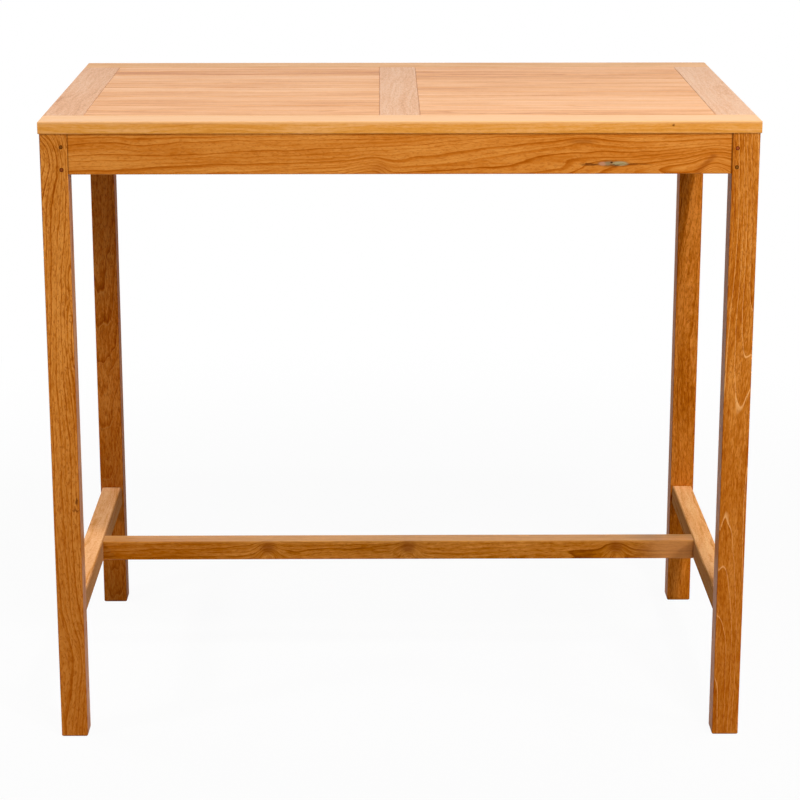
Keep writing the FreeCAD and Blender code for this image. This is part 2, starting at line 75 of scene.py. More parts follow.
MM = 0.001
IMAGE_PX = 800
SENSOR_MM = 36.0
SAME_PLACE_MM = 0.01
EVERYWHERE_MM = 100000.0
WHITE = (1.0, 1.0, 1.0, 1.0)


def linear(code: str) -> Tuple[float, float, float, float]:
    """Turn an sRGB colour into the linear one that a shader takes.

    Args:
        code: Six hex digits, such as "C8752A".

    Returns:
        Linear red, green, blue and an alpha of 1.
    """
    channels = [int(code[place : place + 2], 16) / 255 for place in (0, 2, 4)]
    red, green, blue = [
        c / 12.92 if c <= 0.04045 else ((c + 0.055) / 1.055) ** 2.4 for c in channels
    ]
    return red, green, blue, 1.0


def add_node(
    tree: bpy.types.NodeTree, kind: str, inputs: Dict[object, Value], **settings: object
) -> bpy.types.Node:
    """Add a node, with its settings and its inputs.

    Args:
        tree: Node tree that the node goes in.
        kind: Name of the node's type, without ShaderNode in front.
        inputs: Input name or number, to a value or to the socket that feeds it.
        **settings: Properties of the node.

    Returns:
        The new node.
    """
    node = tree.nodes.new("ShaderNode" + kind)
    for name, setting in settings.items():
        setattr(node, name, setting)
    for key, value in inputs.items():
        if isinstance(value, Socket):
            tree.links.new(value, node.inputs[key])
        else:
            node.inputs[key].default_value = value
    return node


def empty_material(name: str) -> bpy.types.Material:
    """Make a material with an empty node tree.

    Args:
        name: Its name.

    Returns:
        The material.
    """
    material = bpy.data.materials.new(name)
    material.use_nodes = True
    material.node_tree.nodes.clear()
    return material


def add_object(name: str, data: bpy.types.ID) -> bpy.types.Object:
    """Add an object to the scene.

    Args:
        name: Its name.
        data: Its mesh, camera or lamp.

    Returns:
        The object.
    """
    made = bpy.data.objects.new(name, data)
    bpy.context.scene.collection.objects.link(made)
    return made


class Grain(Enum):
    """Way that the grain of a piece runs, as the turn that brings it onto X."""

    ALONG_X = (0.0, 0.0, 0.0)
    ALONG_Y = (0.0, 0.0, -math.pi / 2)
    UPRIGHT = (0.0, math.pi / 2, 0.0)

    def turned(self, point: Sequence[float]) -> Vector:
        """Point of the table in the grain's own axes."""
        return Euler(self.value).to_matrix() @ Vector(point)


@dataclass(frozen=True)
class Bend:
    """Place where the grain swings aside, as it does round a knot or a branch.

    The grain is carried by push_mm at the middle, and less and less over reach_mm.
    All three are in the table's frame.
    """

    place_mm: Triple
    reach_mm: Triple
    push_mm: Triple


@dataclass(frozen=True)
class Mark:
    """Mark with a colour of its own, such as a pin knot, a bark pocket, a dark streak, or painted
    shade and light.

    strength is how much of its colour it has, and crispness is 0 for a soft stain and
    near 1 for a sharp edge. A ragged one has an edge that the grain tears.
    """

    place_mm: Triple
    reach_mm: Triple
    colour: str
    strength: float = 1.0
    crispness: float = 0.5
    ragged: bool = True


@dataclass(frozen=True)
class Teak:
    """Look of one piece of oiled teak, and the place in the log that it was sawn from.

    pale, middle and deep are the colours of the early wood, the body and the late wood,
    and shade moves the whole piece towards deep. pith_mm is how far off the heart of the
    log lies, across the grain. lean_deg is how much the log leans in the board, which
    draws out the arches of flat-sawn wood. pale_line is the colour of the thin line at the
    start of each ring, for wood that has one. oil is how much the film of oil shines.
    """

    pale: str
    middle: str
    deep: str
    seed: int
    shade: float = 0.0
    pith_mm: Pair = (30.0, -60.0)
    lean_deg: Pair = (1.0, 0.6)
    ring_mm: float = 6.0
    wander_mm: float = 10.0
    ripple_mm: float = 1.6
    ring_weight: float = 0.30
    cloud_weight: float = 0.35
    streak_weight: float = 0.45
    fibre_weight: float = 0.55
    pore_weight: float = 0.35
    pale_line: str = ""
    oil: float = 0.5
    bends: Tuple[Bend, ...] = ()
    marks: Tuple[Mark, ...] = ()


class TeakMaterial:
    """Oiled teak, planed and sanded. It gives the eye a satin wood whose dark growth rings
    run on round every edge of the piece, with long streaks and short open pores."""

    WANDER_GRAIN_MM: Triple = (420, 70, 70)
    RIPPLE_GRAIN_MM: Triple = (60, 18, 18)
    CLOUD_GRAIN_MM: Triple = (190, 34, 34)
    STREAK_GRAIN_MM: Triple = (230, 6, 6)
    FIBRE_GRAIN_MM: Triple = (15, 2.4, 2.4)
    # Real pores are 0.3 mm wide, too fine to show at this size, so they are drawn wider
    PORE_GRAIN_MM: Triple = (7, 2, 2)
    RAGGED_GRAIN_MM: Triple = (14, 4, 4)
    RAGGED_MM = 6.0
    SEED_STEPS: Triple = (17.3, 9.7, 5.9)
    SEED_START = 3.1
    NOISE_MIDDLE: Triple = (0.5, 0.5, 0.5)
    NOISE_GAIN = 4
    NOISE_ROUGHNESS = 0.6
    # How often the spacing of the rings changes, and by how many rings
    RING_DRIFT: Pair = (0.5, 1.7)
    # The faintest ring has the second share of the strength, and the first comes on top
    RING_STRENGTH: Pair = (0.8, 0.2)
    RING_MEAN = 0.35
    RING_PROFILE = ((0.0, 0.0), (0.65, 0.1), (0.85, 0.7), (0.93, 1.0), (1.0, 0.05))
    LINE_PROFILE = ((0.0, 0.0), (0.02, 1.0), (0.05, 0.55), (0.08, 0.0))
    TONE_ENDS: Triple = (0.24, 0.5, 0.76)
    # Teak is ring-porous: the pores crowd together in the dark of each ring
    PORE_CROWDING = 0.12
    PORE_EDGES: Pair = (0.54, 0.66)
    SHARPEST = 0.45
    ROUGH_TONES: Pair = (0.2, 0.8)
    ROUGHNESS: Pair = (0.36, 0.48)
    IOR = 1.4
    # The fibres under the oil colour what they throw straight back, and the film of oil
    # shows white only at a low angle
    FIBRE_GLEAM = "FF9010"
    RELIEF_MM = 0.10
    RELIEF_STRENGTH = 0.5

    def __init__(self, name: str, teak: Teak, grain: Grain, middle: Vector) -> None:
        """Build the material.

        Args:
            name: Name of the material.
            teak: Look that it has.
            grain: Way that its grain runs.
            middle: Middle of the piece, in metres.
        """
        self.teak = teak
        self.grain = grain
        self.middle_mm = middle / MM
        self.material = empty_material(name)
        self.build()

    def add(self, kind: str, inputs: Dict[object, Value], **settings: object) -> Socket:
        """Add a node and return its first output."""
        return add_node(self.material.node_tree, kind, inputs, **settings).outputs[0]

    def carry(self, kind: str, value: Value, factor: Value, offset: Value) -> Socket:
        """Value times a factor, plus an offset, by a Math or a VectorMath node."""
        return self.add(kind, {0: value, 1: factor, 2: offset}, operation="MULTIPLY_ADD")

    def own_axes(self) -> Socket:
        """Turn the table's axes into those of the piece.

        Returns:
            Point in millimetres from the piece's middle, with X along the grain.
        """
        tree = self.material.node_tree
        inputs = {
            "Vector": add_node(tree, "TexCoord", {}).outputs["Object"],
            "Location": -self.grain.turned(self.middle_mm),
            "Rotation": self.grain.value,
            "Scale": (1 / MM, 1 / MM, 1 / MM),
        }
        return self.add("Mapping", inputs)

    def noise(self, point: Socket, size_mm: Triple, seed: float, detail: float) -> bpy.types.Node:
        """Noise whose marks have a given size.

        Args:
            point: Point in the piece's own axes.
            size_mm: Length, width and depth of a mark.
            seed: Number that makes one noise differ from the next.
            detail: Octaves of finer noise.

        Returns:
            The noise node.
        """
        along, across, deep = [step * seed for step in self.SEED_STEPS]
        shift = (along + self.SEED_START, across, deep)
        scale = [1 / size for size in size_mm]
        place = self.add("Mapping", {"Vector": point, "Location": shift, "Scale": scale})
        inputs = {"Vector": place, "Scale": 1.0, "Detail": detail}
        inputs["Roughness"] = self.NOISE_ROUGHNESS
        return add_node(self.material.node_tree, "TexNoise", inputs)

    def hill(self, point: Socket, feature: Union[Bend, Mark]) -> Socket:
        """Raise a smooth hill over the place of a bend or a mark.

        Args:
            point: Point in the piece's own axes.
            feature: Bend or mark that it stands on.

        Returns:
            Height of the hill, 1 at its middle.
        """
        middle = self.grain.turned(Vector(feature.place_mm) - self.middle_mm)
        reach = [abs(size) for size in self.grain.turned(feature.reach_mm)]
        scale = [1 / size for size in reach]
        shift = [-place / size for place, size in zip(middle, reach)]
        scaled = self.carry("VectorMath", point, scale, shift)
        tree = self.material.node_tree
        square = add_node(tree, "VectorMath", {0: scaled, 1: scaled}, operation="DOT_PRODUCT")
        return self.add("Math", {0: math.exp(-1), 1: square.outputs["Value"]}, operation="POWER")

    def along_grain(self, point: Socket) -> Socket:
        """Undo the bends and the wander of the grain.

        Args:
            point: Point in the piece's own axes.

        Returns:
            Point of the straight log that ended up there.
        """
        teak = self.teak
        flow = point
        for bend in teak.bends:
            back = -self.grain.turned(bend.push_mm)
            flow = self.carry("VectorMath", self.hill(point, bend), back, flow)
        for size_mm, reach_mm, seed in (
            (self.WANDER_GRAIN_MM, teak.wander_mm, teak.seed + 0.5),
            (self.RIPPLE_GRAIN_MM, teak.ripple_mm, teak.seed + 0.9),
        ):
            noise = self.noise(point, size_mm, seed, 1.0).outputs["Color"]
            reach = (0.0, self.NOISE_GAIN * reach_mm, self.NOISE_GAIN * reach_mm)
            inputs = {0: noise, 1: self.NOISE_MIDDLE}
            centred = self.add("VectorMath", inputs, operation="SUBTRACT")
            flow = self.carry("VectorMath", centred, reach, flow)
        return flow

    def rings(self, flow: Socket) -> Tuple[Socket, Socket]:
        """Growth rings round the pith.

        Args:
            flow: Point of the straight log.

        Returns:
            Darkness of the ring and place in it, each 0 to 1.
        """
        teak = self.teak
        tree = self.material.node_tree
        inputs = {
            "Vector": flow,
            "Location": (0.0, -teak.pith_mm[0], -teak.pith_mm[1]),
            "Rotation": (0.0, math.radians(teak.lean_deg[1]), math.radians(teak.lean_deg[0])),
        }
        leaned = self.add("Mapping", inputs)
        across = self.add("VectorMath", {0: leaned, 1: (0.0, 1.0, 1.0)}, operation="MULTIPLY")
        radius = add_node(tree, "VectorMath", {0: across}, operation="LENGTH").outputs["Value"]
        even = self.add("Math", {0: radius, 1: teak.ring_mm}, operation="DIVIDE")
        often, far = self.RING_DRIFT
        drift = self.add("TexNoise", {"W": even, "Scale": often}, noise_dimensions="1D")
        count = self.carry("Math", drift, far, even)
        inside = self.add("Math", {0: count}, operation="FRACT")
        number = self.add("Math", {0: count}, operation="FLOOR")
        seeded = self.add("Math", {0: number, 1: teak.seed + 0.37}, operation="ADD")
        strength = self.add("TexWhiteNoise", {"W": seeded}, noise_dimensions="1D")
        profile = self.grey_ramp(inside, self.RING_PROFILE)
        weight = self.carry("Math", strength, *self.RING_STRENGTH)
        dark = self.add("Math", {0: profile, 1: weight}, operation="MULTIPLY")
        return dark, inside

    def ramp(self, factor: Socket, stops: Sequence[Tuple[float, Sequence[float]]]) -> Socket:
        """Add a colour ramp.

        Args:
            factor: Value that it reads.
            stops: Place and colour of each stop.

        Returns:
            Its colour.
        """
        tree = self.material.node_tree
        node = add_node(tree, "ValToRGB", {"Fac": factor})
        elements = node.color_ramp.elements
        for place, _ in stops[1:-1]:
            elements.new(place)
        for element, (place, colour) in zip(elements, stops):
            element.position = place
            element.color = colour
        return node.outputs["Color"]

    def grey_ramp(self, factor: Socket, heights: Sequence[Pair]) -> Socket:
        """Ramp through greys, each given by its place and height."""
        return self.ramp(factor, [(place, (high, high, high, 1.0)) for place, high in heights])

    def tone(self, flow: Socket, ring: Socket) -> Socket:
        """Lay rings, clouds, streaks and fibres over one another.

        Args:
            flow: Point of the straight log.
            ring: Darkness of the growth ring.

        Returns:
            Darkness of the wood, about 0.5 in the middle.
        """
        teak = self.teak
        base = self.TONE_ENDS[1] + teak.shade - self.RING_MEAN * teak.ring_weight
        total = self.carry("Math", ring, teak.ring_weight, base)
        layers = (
            (self.CLOUD_GRAIN_MM, teak.cloud_weight, 1.0),
            (self.STREAK_GRAIN_MM, teak.streak_weight, 2.0),
            (self.FIBRE_GRAIN_MM, teak.fibre_weight, 3.0),
        )
        for number, (size_mm, weight, detail) in enumerate(layers):
            noise = self.noise(flow, size_mm, teak.seed + number, detail).outputs[0]
            centred = self.add("Math", {0: noise, 1: 0.5}, operation="SUBTRACT")
            total = self.carry("Math", centred, weight, total)
        return total

    def over(self, colour: Socket, share: Socket, code: str) -> Socket:
        """Lay one colour over another.

        Args:
            colour: Colour below.
            share: How much of it is covered.
            code: Hex digits of the colour above.

        Returns:
            The mixed colour.
        """
        tree = self.material.node_tree
        inputs = {0: share, 6: colour, 7: linear(code)}
        return add_node(tree, "Mix", inputs, data_type="RGBA").outputs[2]

    def spread(self, value: Socket, low: Pair, high: Pair) -> Socket:
        """Value carried smoothly from one range to another, and held inside it.

        Args:
            value: Socket that is carried over.
            low: Start of the range that it comes from, and of the one that it goes to.
            high: End of both ranges.

        Returns:
            The value in its new range.
        """
        inputs = {
            "Value": value,
            "From Min": low[0],
            "From Max": high[0],
            "To Min": low[1],
            "To Max": high[1],
        }
        return self.add("MapRange", inputs, interpolation_type="SMOOTHSTEP")

    def build(self) -> None:
        """Link the pattern to the shader."""
        teak = self.teak
        point = self.own_axes()
        flow = self.along_grain(point)
        ring, inside = self.rings(flow)
        tone = self.tone(flow, ring)
        colours = [linear(teak.pale), linear(teak.middle), linear(teak.deep)]
        colour = self.ramp(tone, list(zip(self.TONE_ENDS, colours)))
        if teak.pale_line:
            line = self.grey_ramp(inside, self.LINE_PROFILE)
            colour = self.over(colour, line, teak.pale_line)
        pores = self.noise(flow, self.PORE_GRAIN_MM, teak.seed + 4.0, 1.0).outputs[0]
        crowded = self.carry("Math", ring, self.PORE_CROWDING, pores)
        start, end = self.PORE_EDGES
        pore = self.spread(crowded, (start, 0.0), (end, teak.pore_weight))
        colour = self.over(colour, pore, teak.deep)
        if teak.marks:
            noise = self.noise(point, self.RAGGED_GRAIN_MM, teak.seed + 5.0, 2.0)
            inputs = {0: noise.outputs["Color"], 1: self.NOISE_MIDDLE}
            centred = self.add("VectorMath", inputs, operation="SUBTRACT")
            reach = (2 * self.RAGGED_MM, self.RAGGED_MM, self.RAGGED_MM)
            ragged = self.carry("VectorMath", centred, reach, point)
        for mark in teak.marks:
            half = 0.5 - self.SHARPEST * mark.crispness
            hill = self.hill(ragged if mark.ragged else point, mark)
            share = self.spread(hill, (0.5 - half, 0.0), (0.5 + half, mark.strength))
            colour = self.over(colour, share, mark.colour)
        low, high = zip(self.ROUGH_TONES, self.ROUGHNESS)
        rough = self.spread(tone, low, high)
        height = self.add("Math", {0: tone, 1: pore}, operation="ADD")
        relief = {"Strength": self.RELIEF_STRENGTH, "Distance": self.RELIEF_MM * MM}
        normal = self.add("Bump", {**relief, "Height": height}, invert=True)
        inputs = {"Base Color": colour, "Roughness": rough, "IOR": self.IOR, "Normal": normal}
        inputs["Specular Tint"] = linear(self.FIBRE_GLEAM)
        inputs["Specular IOR Level"] = teak.oil
        shader = self.add("BsdfPrincipled", inputs)
        add_node(self.material.node_tree, "OutputMaterial", {"Surface": shader})


def dress(node_name: str, teak: Teak, grain: Grain) -> None:
    """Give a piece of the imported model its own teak.

    Args:
        node_name: Name of the piece.
        teak: Look that it gets.
        grain: Way that its grain runs.
    """
    low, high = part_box(node_name)
    made = TeakMaterial("oiled_teak_" + node_name, teak, grain, (low + high) / 2)
    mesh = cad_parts[node_name].data
    mesh.materials.clear()
    mesh.materials.append(made.material)
    log.info("%s: teak with its grain %s", node_name, grain.name.lower().replace("_", " "))


@dataclass
class Legs:
    """Four square legs, each from another part of the log."""

    front_face_mm: float = -373.0
    back_legs_face_mm: float = 330.0
    wood: Teak = Teak(
        "D88C3C", "B86818", "8C3C00", seed=1, streak_weight=0.3, fibre_weight=0.9, pore_weight=0.5
    )
    # Reach and colour of the painted shade that darkens each leg towards its foot
    foot_shade_reach_mm: Triple = (90, 90, 620)
    back_left_foot_shade_reach_mm: Triple = (90, 90, 400)
    foot_shade_colour: str = "8C4200"

    def dress(self) -> None:
        """Give each leg its wood."""
        for end in ("front", "back"):
            for side in ("left", "right"):
                teak = getattr(self, f"{end}_{side}")()
                dress(f"leg_{end}_{side}", teak, Grain.UPRIGHT)

    def foot(self, x: float, y: float, strength: float) -> Mark:
        """Painted shade that darkens the leg that stands at a place towards its foot."""
        return Mark((x, y, 0), self.foot_shade_reach_mm, self.foot_shade_colour, strength, 0.0, False)

    def front_left(self) -> Teak:
        """Wood with flamed grain at its head, dark marks low on its face and a leaning foot.

        Returns:
            Look of the leg.
        """
        face = self.front_face_mm
        return replace(
            self.wood,
            seed=2,
            pith_mm=(40, 75),
            ring_mm=4.4,
            ring_weight=0.60,
            ripple_mm=1.2,
            fibre_weight=0.7,
            oil=0.2,
            bends=(
                Bend((-598, face, 1095), (34, 60, 34), (-22, 0, 0)),
                Bend((-560, face, 135), (36, 60, 90), (26, 0, 0)),
                Bend((-590, face, 1030), (50, 60, 50), (9, 0, 0)),
            ),
            shade=0.04,
            marks=(
                # Painted shade towards the foot
                self.foot(-575.0, face, 0.43),
                Mark((-557, face, 434.6), (2, 8, 7), "5C2A08", 0.8),
                Mark((-559, face, 419), (7, 8, 3), "6E3208", 0.7),
            ),
        )

    def front_right(self) -> Teak:
        """Flat-sawn wood, with thin pale arches that meet half way up.

        Returns:
            Look of the leg.
        """
        face = self.front_face_mm
        saddle = (EVERYWHERE_MM, EVERYWHERE_MM, 320)
        head = (EVERYWHERE_MM, EVERYWHERE_MM, 250)
        return replace(
            self.wood,
            seed=7,
            pith_mm=(7.9, 4),
            lean_deg=(0.0, -3.0),
            ring_mm=6.0,
            ring_weight=0.2,
            wander_mm=1.5,
            ripple_mm=0.5,
            streak_weight=0.4,
            pale_line="F0B068",
            bends=(
                Bend((575, face, 500), saddle, (0, 26, 0)),
                Bend((575, face, 900), head, (25, 0, 0)),
            ),
            # Painted shade towards the foot
            marks=(self.foot(575.0, face, 0.4),),
        )

    def back_left(self) -> Teak:
        """Dark wood, which the lamps leave darkest at its head, with painted shade towards its
        foot.

        Returns:
            Look of the leg.
        """
        # Painted shade towards the foot, darker and shorter on this leg
        foot = self.foot(-575.0, self.back_legs_face_mm, 0.55)
        foot = replace(foot, reach_mm=self.back_left_foot_shade_reach_mm, colour="5E2C00")
        return replace(
            self.wood,
            pale="CE8034",
            middle="B46014",
            deep="883A00",
            oil=0.05,
            seed=9,
            pith_mm=(30, 12),
            lean_deg=(4.0, 0.0),
            ring_mm=5.0,
            wander_mm=4.0,
            pale_line="C07834",
            marks=(foot,),
        )

    def back_right(self) -> Teak:
        """Wood of an even brown.

        Returns:
            Look of the leg.
        """
        # Faint painted shade towards the foot
        foot = replace(self.foot(562.0, self.back_legs_face_mm, 0.15), colour="6E3400")
        return replace(
            self.wood,
            pale="D08030",
            middle="B06010",
            deep="863C00",
            oil=0.2,
            seed=14,
            pith_mm=(70, 50),
            cloud_weight=0.5,
            marks=(foot,),
        )


@dataclass
class Aprons:
    """Boards on edge under the top."""

    front_face_mm: float = -372.5
    joint_mm: float = 552.3
    joint_shade_reach_mm: Triple = (2.4, 12, EVERYWHERE_MM)
    branch_ends_mm: Tuple[Pair, Pair] = ((495, 1007), (521, 1034))
    branch_marks: int = 6
    wood: Teak = Teak(
        "D88C3C",
        "C06C1C",
        "9E4A00",
        seed=21,
        ripple_mm=1.2,
        ring_mm=5.0,
        ring_weight=0.42,
        streak_weight=0.45,
        fibre_weight=0.40,
        pore_weight=0.3,
    )

    def dress(self) -> None:
        """Give each apron its wood."""
        dress("apron_front", self.front(), Grain.ALONG_X)
        for side, seed, pith_mm, grain in (
            ("back", 23, (-40, -80), Grain.ALONG_X),
            ("left", 25, (60, 30), Grain.ALONG_Y),
            ("right", 27, (-55, 70), Grain.ALONG_Y),
        ):
            dress("apron_" + side, replace(self.wood, seed=seed, pith_mm=pith_mm), grain)

    def branch(self) -> List[Mark]:
        """Slanted dark edge of the foot of a branch, low at the right end.

        Returns:
            Row of soft marks that run into one another.
        """
        low, high = [Vector((x, self.front_face_mm, z)) for x, z in self.branch_ends_mm]
        shares = [number / (self.branch_marks - 1) for number in range(self.branch_marks)]
        places = [tuple(low.lerp(high, share)) for share in shares]
        return [Mark(place, (6, 9, 4.2), "8E3E06", 0.5, 0.0, False) for place in places]

    def front(self) -> Teak:
        """Wavy grain, with a feathered swirl, a bark pocket and the foot of a branch.

        Returns:
            Look of the front apron.
        """
        face, joint = self.front_face_mm, self.joint_shade_reach_mm
        return replace(
            self.wood,
            pith_mm=(45, -60),
            bends=(
                Bend((-56, face, 1006), (30, 40, 22), (0, 0, 20)),
                Bend((-40, face, 1004), (14, 40, 20), (0, 0, 16)),
                Bend((350, face, 1022), (52, 40, 11), (0, 0, 7)),
                Bend((545, face, 985), (130, 60, 70), (0, 0, 40)),
                Bend((524, face, 1004), (24, 40, 30), (0, 0, 40)),
                Bend((305, face, 1060), (34, 40, 12), (0, 0, 9)),
            ),
            marks=(
                # Dark lines where the apron meets the legs: painted shade of the gaps at the
                # joints
                Mark((-self.joint_mm, face, 1038), joint, "4A2006", 0.6, 0.2, False),
                Mark((self.joint_mm, face, 1038), joint, "4E1A04", 0.85, 0.2, False),
                Mark((-34, face, 1014), (14, 12, 14), "A04E0C", 0.3, 0.0),
                *self.branch(),
                Mark((304, face, 1058), (26, 12, 5), "8A4208", 0.5, 0.2),
                Mark((316, face, 1020.5), (20, 9, 1.8), "5A2A0C", 0.8, 0.3),
                Mark((392, face, 1020.6), (26, 9, 1.6), "5A2A0C", 0.7, 0.3),
                Mark((352, face, 1021.4), (31, 9, 6.2), "6A3A18", 0.7, 0.4),
                Mark((337, face, 1021.2), (8, 9, 3.6), "C08A6A", 0.85, 0.5, False),
                Mark((347, face, 1022), (7, 9, 4), "8E7A58", 0.85, 0.4),
                Mark((365, face, 1021.4), (15, 9, 4.2), "A89A70", 0.9, 0.5, False),
                Mark((367, face, 1020), (9, 9, 0.8), "7C6236", 0.8, 0.3),
                Mark((351.5, face, 1023.4), (2.4, 9, 1.7), "2A180C", 0.95, 0.6, False),
                Mark((358, face, 1018.4), (9, 9, 1), "3E220E", 0.8, 0.4),
            ),
        )


@dataclass
class Stretchers:
    """H of three bars near the floor."""

    front_face_mm: float = -19.0
    middle_height_mm: float = 226.0
    inner_face_mm: float = 556.0
    knot_places_mm: Triple = (-246, 18, 410)
    wood: Teak = Teak("BE7C34", "985404", "713400", seed=31, ring_weight=0.35)
    side_wood: Teak = replace(
        wood, pale="E3B07A", middle="D99C60", deep="B67024", fibre_weight=0.35, oil=0.0
    )
    left_wood: Teak = replace(side_wood, pale="DEB084", middle="D49E6C", ring_weight=0.15)

    def dress(self) -> None:
        """Give each bar its wood."""
        dress("centre_stretcher", self.centre(), Grain.ALONG_X)
        marks = (self.inner_face_shade(-self.inner_face_mm),)
        left = replace(self.left_wood, seed=33, pith_mm=(20, 70), marks=marks)
        dress("side_stretcher_left", left, Grain.ALONG_Y)
        marks = (self.inner_face_shade(self.inner_face_mm),)
        right = replace(self.side_wood, seed=37, pith_mm=(-20, 65), marks=marks)
        dress("side_stretcher_right", right, Grain.ALONG_Y)

    def inner_face_shade(self, x: float) -> Mark:
        """Painted shade that browns the face that a side bar turns to the middle of the table."""
        reach = (3.6, EVERYWHERE_MM, EVERYWHERE_MM)
        return Mark((x, 0, self.middle_height_mm), reach, "84480C", 0.5, 0.6, False)

    def centre(self) -> Teak:
        """Bar with three knots, whose grain swings round them.

        Returns:
            Look of the bar.
        """
        face, height = self.front_face_mm, self.middle_height_mm
        reach, push = (20, 40, 20), (0, 0, 26)
        stain = (16, 12, 13)
        knots = self.knot_places_mm
        bends = tuple(Bend((x, face, height - 6), reach, push) for x in knots)
        stains = tuple(Mark((x, face, height + 6), stain, "642804", 0.6, 0.1) for x in knots)
        wide = (EVERYWHERE_MM, EVERYWHERE_MM, 7)
        # Paler top face: painted light where the bar's top catches the lamps
        upper = Mark((0, 0, height + 22), wide, "B88A4A", 0.6, 0.3, False)
        end = Mark((525, face, height), (60, 30, 60), "D8965A", 0.55, 0.0, False)
        start = Mark((-490, face, height), (200, 30, 60), "8A4400", 0.4, 0.0, False)
        marks = (upper, start, end, *stains)
        return replace(self.wood, pith_mm=(40, -30), bends=bends, marks=marks)


@dataclass
class Top:
    """Framed top: two rails, two end boards, a centre board and two panels of slats.

    The shades are listed from the front slat to the back one.
    """

    front_face_mm: float = -375.0
    left_shades: Tuple[float, ...] = (0.05, 0, 0.05, -0.02, 0.04, -0.12, 0.06, 0, -0.07, 0.15, 0)
    right_shades: Tuple[float, ...] = (0.05, -0.08, -0.06, -0.08, 0.04, 0, 0.02, 0, 0.08, 0.12, 0)
    slat_wood: Teak = Teak(
        "EEB27A",
        "DE9C5E",
        "B87440",
        seed=41,
        ring_mm=4.0,
        ring_weight=0.22,
        wander_mm=4.0,
        ripple_mm=0.6,
        fibre_weight=0.35,
        streak_weight=0.8,
        pore_weight=0.15,
    )
    rail_wood: Teak = Teak(
        "ECB070",
        "DC943E",
        "C07222",
        seed=70,
        pith_mm=(30, -70),
        ring_weight=0.16,
        fibre_weight=0.35,
        pore_weight=0.2,
    )
    board_wood: Teak = Teak(
        "E4B68E",
        "D69C6C",
        "AE744A",
        seed=76,
        pith_mm=(25, -55),
        ring_mm=5.0,
        ring_weight=0.12,
        ripple_mm=0.8,
        cloud_weight=0.2,
        streak_weight=0.3,
        fibre_weight=0.6,
        pore_weight=0.3,
    )

    def dress(self) -> None:
        """Give each board and slat of the top its wood."""
        knot = Mark((452.7, self.front_face_mm, 1086.5), (2.2, 4, 2), "6E3A10", 0.9)
        upper = (EVERYWHERE_MM, EVERYWHERE_MM, 7)
        # Pale band along the rail's top: sapwood, and painted light where the top face catches the
        # lamps
        sap_and_top_light = Mark((0, self.front_face_mm, 1096), upper, "EEBC88", 0.8, 0.2, False)
        dress("top_rail_front", replace(self.rail_wood, marks=(sap_and_top_light, knot)), Grain.ALONG_X)
        back = replace(self.rail_wood, middle="D49A5A", seed=72, pith_mm=(-30, -70))
        dress("top_rail_back", back, Grain.ALONG_X)
        dress("end_board_left", self.board_wood, Grain.ALONG_Y)
        right = replace(self.board_wood, seed=78, shade=-0.08, pith_mm=(-35, -60))
        dress("end_board_right", right, Grain.ALONG_Y)
        dress("centre_board", replace(self.board_wood, seed=80, shade=-0.04), Grain.ALONG_Y)
        for side, shades in (("left", self.left_shades), ("right", self.right_shades)):
            for number, shade in enumerate(shades, start=1):
                self.dress_slat(side, number, shade)

    def dress_slat(self, side: str, number: int, shade: float) -> None:
        """Give one slat its wood.

        Args:
            side: Panel that it is in.
            number: Its number from the front.
            shade: How dark it is beside the others.
        """
        seed = 100 + 13 * number + (7 if side == "left" else 0)
        pith = (40.0 * math.sin(seed), 60.0 + 20.0 * math.cos(seed))
        wood = replace(self.slat_wood, seed=seed, shade=shade, pith_mm=pith)
        dress(f"slat_{side}_{number:02d}", wood, Grain.ALONG_X)


@dataclass
class Fixings:
    """Battens and bearer under the top, in plain offcuts of the same timber."""

    wood: Teak = Teak("D9A05C", "BC7C3C", "84501E", seed=91, ring_mm=4.0)

    def dress(self) -> None:
        """Give the battens and the bearer their wood."""
        dress("centre_bearer", replace(self.wood, seed=92), Grain.ALONG_Y)
        for number, name in enumerate(("front", "back", "left", "right")):
            grain = Grain.ALONG_X if number < 2 else Grain.ALONG_Y
            dress("batten_" + name, replace(self.wood, seed=93 + number), grain)


@dataclass(frozen=True)
class Rod:
    """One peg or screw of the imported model: the middle of its head, the way that it goes
    in, and its length and radius in metres."""

    head: Vector
    inward: Vector
    length: float
    radius: float

    def placing(self) -> Matrix:
        """Matrix that carries a rod made under the origin, with its head up, to its place."""
        turn = (-self.inward).to_track_quat("Z", "Y").to_matrix().to_4x4()
        return Matrix.Translation(self.head) @ turn

    def order(self) -> Triple:
        """Key that sorts rods from left to right, and then from the top down."""
        return round(self.head.x, 3), -self.head.z, self.head.y


def rod_through(points: Sequence[Vector]) -> Rod:
    """Measure one peg or screw.

    Args:
        points: Corners of its flat-sided solid.

    Returns:
        The rod. Its head is its thicker end, or else the end farther from the top's middle.
    """
    low = Vector([min(point[axis] for point in points) for axis in range(3)])
    high = Vector([max(point[axis] for point in points) for axis in range(3)])
    size, middle = high - low, (low + high) / 2
    long_way = min(range(3), key=lambda axis: abs(size[axis - 1] - size[axis - 2]))
    top_middle = Vector((0.0, 0.0, CAD_BOX[1][2]))
    ends = []
    for height in (low[long_way], high[long_way]):
        near = [point for point in points if abs(point[long_way] - height) < SAME_PLACE_MM * MM]
        place = middle.copy()
        place[long_way] = height
        radius = max((point - place).length for point in near)
        ends.append((round(radius, 5), (place - top_middle).length, place, radius))
    tail, head = sorted(ends, key=lambda end: end[:2])
    inward = tail[2] - head[2]
    return Rod(head[2], inward.normalized(), inward.length, head[3])


def joined_to(start: bmesh.types.BMVert) -> List[bmesh.types.BMVert]:
    """Gather the vertices that hang together.

    Args:
        start: One of them.

    Returns:
        All of them.
    """
    group, seen = [start], {start}
    for vert in group:
        joined = {edge.other_vert(vert) for edge in vert.link_edges} - seen
        seen |= joined
        group.extend(joined)
    return group


